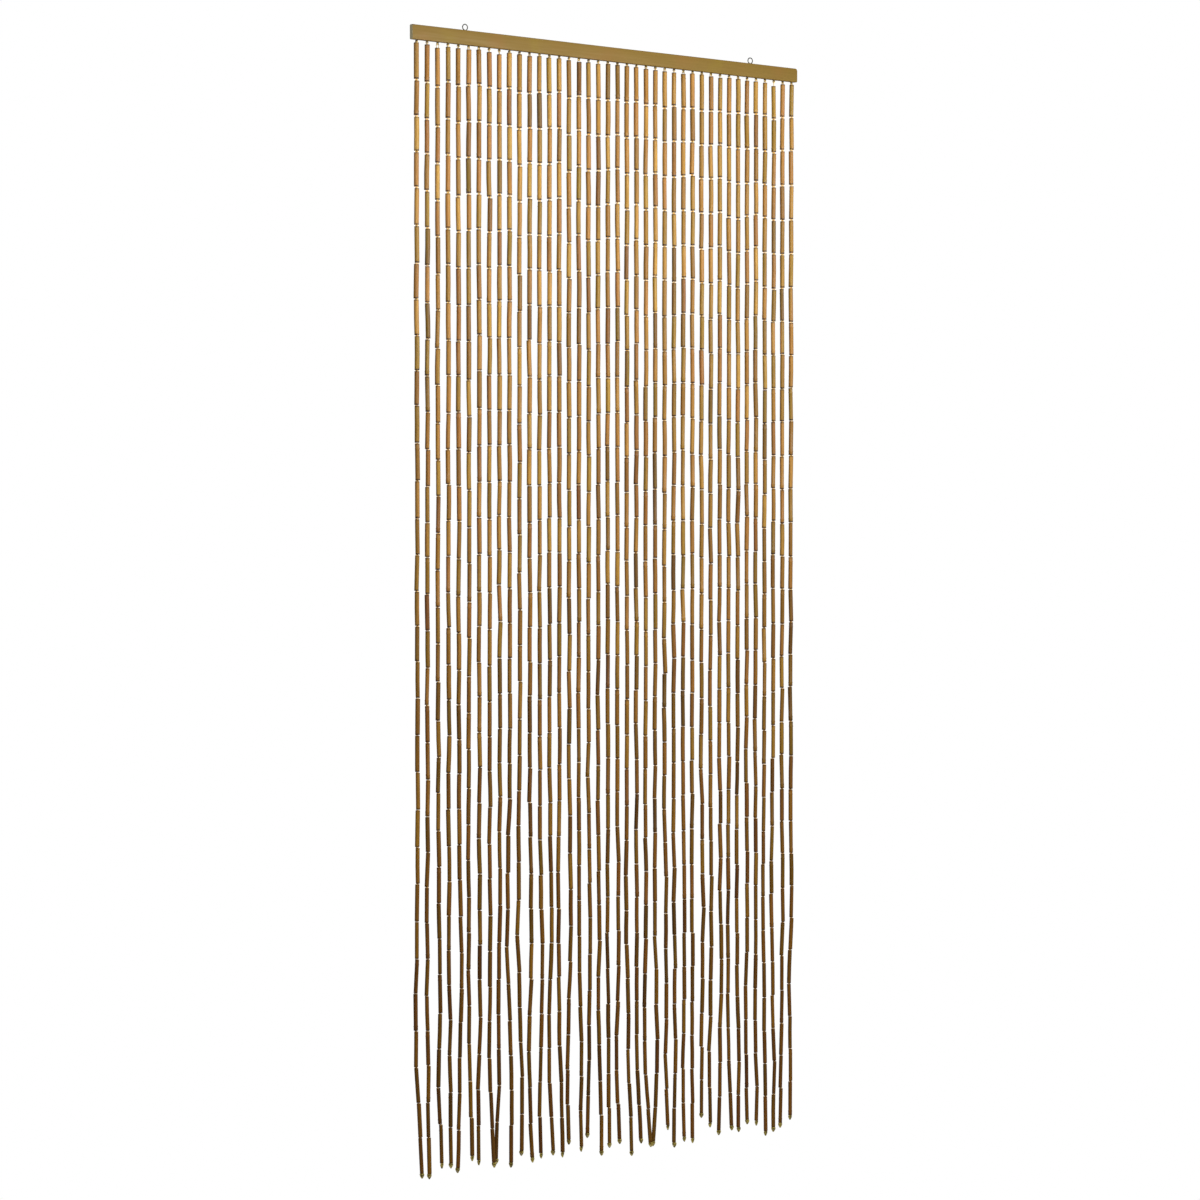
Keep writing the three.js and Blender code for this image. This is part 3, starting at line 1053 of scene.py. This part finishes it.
@dataclass
class Rail:
    """The wooden slat, planed flat, with eased edges and worn corners at its right end."""

    strip_height: float = 4 * MM
    parting: float = 0.3 * MM
    edge_radius: float = 0.9 * MM
    edge_steps: int = 3
    end_radius: float = 1.0 * MM
    worn_top_radius: float = 4.0 * MM
    worn_foot_radius: float = 1.6 * MM
    end_steps: int = 6
    length_steps: int = 60
    bow: float = 0.15 * MM
    sharp_degrees: float = 40.0

    @property
    def top(self) -> float:
        """The height of the rail's top."""
        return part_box("rail")[1].z

    @property
    def foot(self) -> float:
        """The height of the rail's underside, below the strip that the strand roots sit in."""
        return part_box("rail")[0].z - self.parting - self.strip_height

    def build(self) -> None:
        """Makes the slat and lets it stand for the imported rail."""
        low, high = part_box("rail")
        sections = [self._section(place, low, high) for place in self._places(low.x, high.x)]
        mesh = capped([point for section in sections for point in section], len(sections[0])).mesh("rail_slat")
        for polygon in mesh.polygons[-2:]:
            polygon.use_smooth = False
        mesh.set_sharp_from_angle(angle=math.radians(self.sharp_degrees))
        mesh.materials.append(RailFinish(self.top, self.foot).material())
        keep(put("rail_slat", mesh), "rail_wood", "rail")

    def _places(self, left: float, right: float) -> list[float]:
        """Spots along the rail for a section, close together at its rounded ends.

        Args:
            left: The left end.
            right: The right end.

        Returns:
            The spots from left to right.
        """
        quarter = [1 - math.cos(math.pi / 2 * step / self.end_steps) for step in range(self.end_steps + 1)]
        first = [left + self.end_radius * share for share in quarter]
        last = [right - self.worn_top_radius * share for share in reversed(quarter)]
        span = last[0] - first[-1]
        middle = [first[-1] + span * step / self.length_steps for step in range(1, self.length_steps)]
        return first + middle + last

    def _section(self, place: float, low: Vector, high: Vector) -> list[Vector]:
        """One section of the slat, counterclockwise seen from its right end.

        Args:
            place: Where along the rail it is cut.
            low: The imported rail's lowest corner.
            high: Its highest corner.

        Returns:
            The section's points.
        """

        def eased(distance: float, radius: float) -> float:
            """How far a rounded end has drawn in at a distance from it."""
            left = max(radius - distance, 0.0)
            return radius - math.sqrt(radius * radius - left * left)

        from_left, from_right = place - low.x, high.x - place
        top = high.z - eased(from_left, self.end_radius) - eased(from_right, self.worn_top_radius)
        foot = self.foot + eased(from_left, self.end_radius) + eased(from_right, self.worn_foot_radius)
        share = from_left / (high.x - low.x)
        sag = self.bow * math.sin(math.pi * share) * math.sin(3 * math.pi * share)
        radius = self.edge_radius
        corners = (
            (high.y - radius, foot + radius, -90.0),
            (high.y - radius, top - radius, 0.0),
            (low.y + radius, top - radius, 90.0),
            (low.y + radius, foot + radius, 180.0),
        )
        points = []
        for y, z, start in corners:
            for step in range(self.edge_steps + 1):
                angle = math.radians(start + 90.0 * step / self.edge_steps)
                points.append(Vector((place, y + radius * math.cos(angle), z + radius * math.sin(angle) + sag)))
        return points


@dataclass
class HangerEyes:
    """The two screw eyes: a wire ring that closes on a threaded shank."""

    material: Material
    rail_top: float
    outer_diameter: float = 12.0 * MM
    wire: float = 1.7 * MM
    sunk: float = 0.6 * MM
    sides: int = 12
    ring_degrees: Span = (-78.0, 262.0)
    ring_steps: int = 36
    shank_depth: float = 8 * MM
    turns_degrees: tuple[tuple[str, float], ...] = (("left", -3.0), ("right", -7.0))

    def build(self) -> None:
        """Makes both eyes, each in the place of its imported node."""
        for label, turn in self.turns_degrees:
            node = f"hanger_eye_{label}"
            low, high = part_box(node)
            centre = Vector(((low.x + high.x) / 2, 0, self.rail_top - self.sunk + self.outer_diameter / 2))
            path = [centre + point for point in turned(self._path(), turn)]
            mesh = sweep(path, self.wire, self.sides).mesh(f"screw_eye_{label}")
            mesh.materials.append(self.material)
            keep(put(mesh.name, mesh), "eye_steel", node)

    def _path(self) -> list[Vector]:
        """The wire's way up the shank and once round the ring, about the ring's centre."""
        radius = (self.outer_diameter - self.wire) / 2
        shank = [Vector((0, 0, -radius - depth)) for depth in (self.shank_depth, self.wire / 2)]
        return [*shank, *arc(radius, self.ring_degrees, self.ring_steps)]


@dataclass(frozen=True)
class TubeCut:
    """The shapes that the bamboo tubes come in: hollow, with eased edges, some with a knuckle or a slight bow.

    A knuckle is a slight ring where the stem had a joint. Its rows say how far it stands out, and how high up.
    """

    diameter: float = 7.6 * MM
    bore: float = 4.6 * MM
    length: float = 60 * MM
    sides: int = 10
    edge: float = 0.2 * MM
    swell: float = 0.05 * MM
    bow: float = 0.35 * MM
    slight_bow: float = 0.2 * MM
    knuckle: tuple[Span, ...] = ((-0.05 * MM, -1.5 * MM), (0.28 * MM, 0.0), (-0.15 * MM, 1.2 * MM))
    knuckle_below_top: float = 8 * MM
    knuckle_above_foot: float = 7 * MM

    def shapes(self) -> list[Shape]:
        """Makes each shape once.

        Returns:
            A straight tube, a bowed one, an even one, and two with a knuckle, near the top and near the foot.
        """
        half = self.length / 2
        middle = [(self.swell, 0.0)]
        high = [(out, half - self.knuckle_below_top + up) for out, up in self.knuckle]
        low = [(out, self.knuckle_above_foot - half + up) for out, up in self.knuckle]
        kinds = ((middle, 0.0), (middle, self.bow), ([], 0.0), (high, self.slight_bow), (low, 0.0))
        return [self._tube(bumps, bow) for bumps, bow in kinds]

    def _tube(self, bumps: list[Span], bow: float) -> Shape:
        """A hollow tube turned from its outer side.

        Args:
            bumps: How far its side stands out between its ends, and at which height, from the foot up.
            bow: How far its middle bows aside.

        Returns:
            The tube, with the attributes skin and cut.
        """
        half, edge, sides = self.length / 2, self.edge, self.sides
        outer = [(-edge, -half), (0.0, edge - half), *bumps, (0.0, half - edge), (-edge, half)]
        rings = [(self.diameter / 2 + out, height, 0.0) for out, height in outer]
        rings += [(self.bore / 2, height, 1.0) for height in (half, -half)]
        points: list[Vector] = []
        skin: list[Vector] = []
        for radius, height, _ in rings:
            share = height / half
            aside = bow * (1 - share * share)
            points += [Vector((radius * x + aside, radius * y, height)) for x, y in circle(sides)]
            skin += [Vector((x, y, share)) for x, y in circle(sides)]
        cut = [sawn for _, _, sawn in rings for _ in range(sides)]
        edged = (0, 1, len(outer) - 2, len(outer) - 1, len(outer), len(outer) + 1)
        sharp = {
            frozenset((ring * sides + side, ring * sides + (side + 1) % sides))
            for ring in edged
            for side in range(sides)
        }
        faces = ring_faces(len(rings), sides, closed=True)
        return Shape(points, faces, marks={"skin": skin, "cut": cut}, sharp=sharp)


@dataclass
class Strands:
    """One half of the curtain's strands: tubes, the wire links between them, and their eyes and end hooks.

    The wire's ways are in millimetres: across and up for the legs of loops, and all three axes for the hook. Bared
    and link_sizes pair a depth below the rail's top, in millimetres, with the value there.
    """

    half: Half
    rule: StrandRule
    rail_top: float
    rail_foot: float
    bamboo: Material
    link_finish: Material
    collar_finish: Material
    root_finish: Material
    hook_finish: Material
    tube: TubeCut = TubeCut()
    bared: tuple[Span, ...] = ((280.0, 0.0), (520.0, 0.1), (1100.0, 0.22))
    length_spread: float = 0.25 * MM
    girth_at_rail: float = 1.14
    girth_at_feet: float = 0.93
    girth_spread: float = 0.06
    side_slip: float = 0.5 * MM
    tilt_degrees: float = 1.3
    wire_diameter: float = 1.4 * MM
    wire_sides: int = 5
    link_leg: tuple[Span, ...] = ((1.6, -0.7), (2.65, 0.45), (1.8, 1.6), (1.3, 4.2))
    link_sizes: tuple[Span, ...] = ((0.0, 1.1), (DEEPEST, 0.95))
    link_size_spread: float = 0.06
    thick_wire_sides: int = 6
    root_wire_diameter: float = 1.5 * MM
    collar_radius: float = 1.75 * MM
    collar_height: float = 2.6 * MM
    collar_turns: float = 2.0
    collar_steps: int = 18
    stem_in_rail: float = 2 * MM
    ring_radius: float = 2.0 * MM
    ring_below_collar: float = 0.4 * MM
    ring_degrees: Span = (-260.0, 80.0)
    ring_steps: int = 12
    root_leg: tuple[Span, ...] = ((0.6, 0.9), (2.6, -0.6), (2.2, -2.6), (1.5, -13.0))
    root_turn_degrees: float = -25.0
    root_turn_spread: float = 0.9
    hook_wire_diameter: float = 2.2 * MM
    hook_way: tuple[tuple[float, float, float], ...] = (
        (0.4, 0.3, 8.0), (0.6, 0.3, 0.2), (2.8, 0.4, -1.2), (2.9, 0.2, -3.8), (1.4, 0.1, -6.8), (0.0, 0.0, -8.8),
        (-1.4, -0.1, -6.8), (-2.9, -0.2, -3.8), (-2.8, -0.4, -1.2), (-0.6, -2.2, -1.0), (2.0, -1.6, -1.6),
        (1.8, 1.7, -2.6), (-1.3, 1.4, -3.2), (-1.2, -0.8, -3.9), (0.9, -0.5, -4.3), (0.2, 0.4, -6.4),
    )
    hook_steps: int = 3
    hook_turn_degrees: float = -34.0
    hook_turn_spread: float = 0.8
    tube_seed_step: int = 100
    fitting_seed: int = 7

    @cached_property
    def lines(self) -> list[list[Vector]]:
        """The joints of each strand."""
        return [self.rule.joints(number, self.rail_top) for number in self.half.strands]

    def build(self) -> None:
        """Makes all pieces of this half and lets the tubes stand for its packed strands."""
        self._tubes()
        self._links()
        self._roots()
        self._hooks()

    def _tubes(self) -> None:
        """Sets a tube on each run of the strands."""
        points = [point for line in self.lines for run in self._runs(line) for point in run]
        edges = [(index, index + 1) for index in range(0, len(points), 2)]
        low = [self._below(point) / DEEPEST for point in points]
        shapes = bpy.data.collections.new(f"tube_shapes_{self.half.label}")
        bpy.context.scene.collection.children.link(shapes)
        kinds = self.tube.shapes()
        for index, shape in enumerate(kinds):
            shapes.objects.link(bpy.data.objects.new(f"tube_shape_{index}", shape.mesh("tube_shape")))
        settings = {
            "Tube Shapes": shapes,
            "Last Shape": len(kinds) - 1,
            "Tube Length": self.tube.length,
            "Length Spread": self.length_spread,
            "Girth At Rail": self.girth_at_rail,
            "Girth At Feet": self.girth_at_feet,
            "Girth Spread": self.girth_spread,
            "Side Slip": self.side_slip,
            "Tilt": math.radians(self.tilt_degrees),
            "Seed": self.tube_seed_step * self.half.value[0],
            "Material": self.bamboo,
        }
        lines = Shape(points, edges=edges, marks={"low": low}).mesh("strand_lines")
        piece = grown(f"bamboo_tubes_{self.half.label}", lines, tube_tree(), settings)
        for tube in list(shapes.objects):
            bpy.data.meshes.remove(tube.data)
        bpy.data.collections.remove(shapes)
        keep(piece, "bamboo", f"strands_{self.half.label}")

    def _below(self, point: Vector) -> float:
        """How far a point lies below the rail's top, in millimetres."""
        return (self.rail_top - point.z) / MM

    def _runs(self, line: list[Vector]) -> list[tuple[Vector, Vector]]:
        """Works out where each tube of a strand starts and ends.

        Args:
            line: The strand's joints.

        Returns:
            Each tube's top and foot. At a joint they are drawn in by half of the gap, and a little more that
            bares the wire.
        """

        def drawn_in(joint: Vector) -> float:
            """How far a tube's end stays back from a joint."""
            below = self._below(joint)
            return (between(self.rule.gaps, below) / 2 + between(self.bared, below)) * MM

        runs = []
        for upper, lower in zip(line, line[1:]):
            along = (lower - upper).normalized()
            start = upper if upper is line[0] else upper + along * drawn_in(upper)
            end = lower if lower is line[-1] else lower - along * drawn_in(lower)
            runs.append((start, end))
        return runs

    def _links(self) -> None:
        """Sets a pair of linked loops in each gap between tubes."""
        rows = [row for line in self.lines for row in zip(line, line[1:], line[2:])]
        spots = [(joint, (above - below).normalized()) for above, joint, below in rows]
        sizes = [between(self.link_sizes, self._below(joint)) for _, joint, _ in rows]
        lower = turned(loop_of((across, -up) for across, up in self.link_leg), 90.0)
        wires = (sweep(path, self.wire_diameter, self.wire_sides) for path in (loop_of(self.link_leg), lower))
        self._fit("wire_links", joined(*wires), spots, self.link_finish, 0.0, math.pi, self.link_size_spread, sizes)

    def _roots(self) -> None:
        """Sets a wound collar under the rail for each strand, and the ring and loop that the strand hangs on."""
        radius = self.root_wire_diameter / 2
        roots = [(Vector((line[0].x, line[0].y, self.rail_foot)), UP) for line in self.lines]
        collar = []
        for step in range(self.collar_steps + 1):
            share = step / self.collar_steps
            angle = math.tau * self.collar_turns * share
            x, y = self.collar_radius * math.cos(angle), self.collar_radius * math.sin(angle)
            collar.append(Vector((x, y, -radius - (self.collar_height - radius) * share)))
        stem = [Vector((0, 0, self.stem_in_rail)), Vector((0, 0, -self.collar_height - radius))]
        wires = (sweep(path, self.root_wire_diameter, self.thick_wire_sides) for path in (collar, stem))
        self._fit("root_collars", joined(*wires), roots, self.collar_finish, 0.0, math.pi)
        centre = Vector((0, 0, -self.collar_height - self.ring_below_collar))
        ring = [centre + point for point in arc(self.ring_radius, self.ring_degrees, self.ring_steps)]
        ring_wire = sweep(ring, self.root_wire_diameter, self.thick_wire_sides)
        loop = turned(loop_of(self.root_leg, centre.z - self.ring_radius + radius), 90.0)
        held = joined(ring_wire, sweep(loop, self.wire_diameter, self.thick_wire_sides))
        turn = math.radians(self.root_turn_degrees)
        self._fit("root_loops", held, roots, self.root_finish, turn, self.root_turn_spread)

    def _hooks(self) -> None:
        """Sets the pointed end hook under each strand's last tube."""
        curve = smoothed([Vector(place) * MM for place in self.hook_way], self.hook_steps)
        feet = [(line[-1], (line[-2] - line[-1]).normalized()) for line in self.lines]
        shape = sweep(curve, self.hook_wire_diameter, self.thick_wire_sides)
        turn = math.radians(self.hook_turn_degrees)
        self._fit("end_hooks", shape, feet, self.hook_finish, turn, self.hook_turn_spread)

    def _fit(
        self,
        name: str,
        shape: Shape,
        spots: list[tuple[Vector, Vector]],
        finish: Material,
        turn: float,
        turn_spread: float,
        size_spread: float = 0.0,
        sizes: Sequence[float] = (),
    ) -> None:
        """Sets one wire shape on many spots.

        Args:
            name: The piece's name, without the half.
            shape: The wire shape.
            spots: For each one its place and the way up along its strand.
            finish: The wire's material.
            turn: How it is turned about the strand, in radians.
            turn_spread: How far that varies to each side.
            size_spread: How far its size varies to each side, as a share.
            sizes: Its size at each spot, or nothing where it is one everywhere.
        """
        label = f"{name}_{self.half.label}"
        marks = {"hang": [way for _, way in spots], "size": list(sizes or [1.0] * len(spots))}
        places = Shape([place for place, _ in spots], marks=marks).mesh(f"{label}_spots")
        fitting = put(f"{name}_shape", shape.mesh(f"{name}_shape"))
        settings = {
            "Fitting": fitting,
            "Turn": turn,
            "Turn Spread": turn_spread,
            "Size Spread": size_spread,
            "Seed": self.fitting_seed + self.half.value[0],
            "Material": finish,
        }
        piece = grown(label, places, fitting_tree(), settings)
        bpy.data.meshes.remove(fitting.data)
        keep(piece, "link_wire")


@dataclass(frozen=True)
class AreaLight:
    """A soft rectangular light, which the camera doesn't see."""

    name: str
    place: tuple[float, float, float]
    aim: tuple[float, float, float]
    size: Span
    power: float
    colour: Colour = (1.0, 0.985, 0.93)
    gloss: bool = True

    def build(self) -> None:
        """Makes the light."""
        data = bpy.data.lights.new(self.name, "AREA")
        data.shape = "RECTANGLE"
        data.size, data.size_y = self.size
        data.energy = self.power
        data.color = self.colour
        light = aimed(self.name, data, self.place, Vector(self.aim) - Vector(self.place))
        light.visible_camera = False
        light.visible_glossy = self.gloss


@dataclass
class Studio:
    """A white floor and surround, soft light from all round, and the camera at the photograph's angle."""

    floor_below_feet: float = 0.05
    floor_side: float = 40.0
    floor_bounce: float = 0.4
    floor_roughness: float = 0.9
    surround: float = 0.055
    surround_colour: Colour = (1.0, 0.96, 0.88)
    camera_place: tuple[float, float, float] = (-3.92305, -4.66602, -0.85402)
    camera_yaw_degrees: float = 39.843
    camera_pitch_degrees: float = -1.3624
    lens: float = 101.5
    sensor: float = 36.0
    sight: float = 100.0
    lights: tuple[AreaLight, ...] = (
        AreaLight("key", (0.0, -1.5, -0.19), (0.0, 0.0, -0.4), (2.3, 0.6), 47.5),
        AreaLight("side", (-2.4, -0.4, 0.0), (-0.45, 0.0, -0.1), (0.5, 0.5), 11.0),
        AreaLight("back", (1.15, 1.4, -0.7), (0.0, 0.0, -0.8), (2.0, 1.2), 60.0, gloss=False),
        AreaLight("above", (0.0, 0.1, 0.9), (0.0, 0.0, 0.0), (1.2, 0.2), 5.0),
    )

    def build(self) -> None:
        """Makes the floor, the surround, the light and the camera."""
        self._floor()
        self._surround()
        for light in self.lights:
            light.build()
        self._camera()

    def _floor(self) -> None:
        """A plain white floor just under the feet of the strands."""
        height = min(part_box(f"strands_{half.label}")[0].z for half in Half) - self.floor_below_feet
        side = self.floor_side / 2
        corners = [Vector((x, y, height)) for x, y in ((-side, -side), (side, -side), (side, side), (-side, side))]
        mesh = Shape(corners, [(0, 1, 2, 3)]).mesh("floor")
        material, graph = new_material("floor_white")
        bounce = {"Base Color": (self.floor_bounce,) * 3, "Roughness": self.floor_roughness}
        lit = graph.add("ShaderNodeBsdfPrincipled", bounce)
        graph.add("ShaderNodeOutputMaterial", {"Surface": graph.by_ray(lit, graph.add("ShaderNodeEmission"))})
        mesh.materials.append(material)
        put("floor", mesh)

    def _surround(self) -> None:
        """White to the camera, and a soft grey light on the curtain."""
        world = bpy.data.worlds.new("surround")
        world.use_nodes = True
        bpy.context.scene.world = world
        graph = Graph(world.node_tree)
        lit = graph.add("ShaderNodeBackground", {"Color": self.surround_colour, "Strength": self.surround})
        seen = graph.add("ShaderNodeBackground", {"Color": (1.0, 1.0, 1.0), "Strength": 1.0})
        graph.add("ShaderNodeOutputWorld", {"Surface": graph.by_ray(lit, seen)})

    def _camera(self) -> None:
        """The camera, level but for a slight look down."""
        data = bpy.data.cameras.new("camera")
        data.sensor_width = self.sensor
        data.lens = self.lens
        data.clip_end = self.sight
        yaw = math.radians(self.camera_yaw_degrees)
        pitch = math.radians(self.camera_pitch_degrees)
        look = Vector((math.sin(yaw) * math.cos(pitch), math.cos(yaw) * math.cos(pitch), math.sin(pitch)))
        bpy.context.scene.camera = aimed("camera", data, self.camera_place, look)


def main() -> None:
    """Builds the curtain piece by piece and reports each one."""
    logging.basicConfig(level=logging.INFO, format="%(message)s")
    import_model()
    scene = bpy.context.scene
    scene.view_settings.view_transform = "Standard"
    scene.view_settings.look = "None"
    Studio().build()
    rail = Rail()
    rail.build()
    HangerEyes(EYE_STEEL.material(), rail.top).build()
    bamboo = BambooFinish().material()
    wires = [finish.material() for finish in (LINK_BRASS, ROOT_BRONZE, ROOT_BRASS, HOOK_BRASS)]
    for half in Half:
        Strands(half, StrandRule(), rail.top, rail.foot, bamboo, *wires).build()


if __name__ == "__main__":
    main()
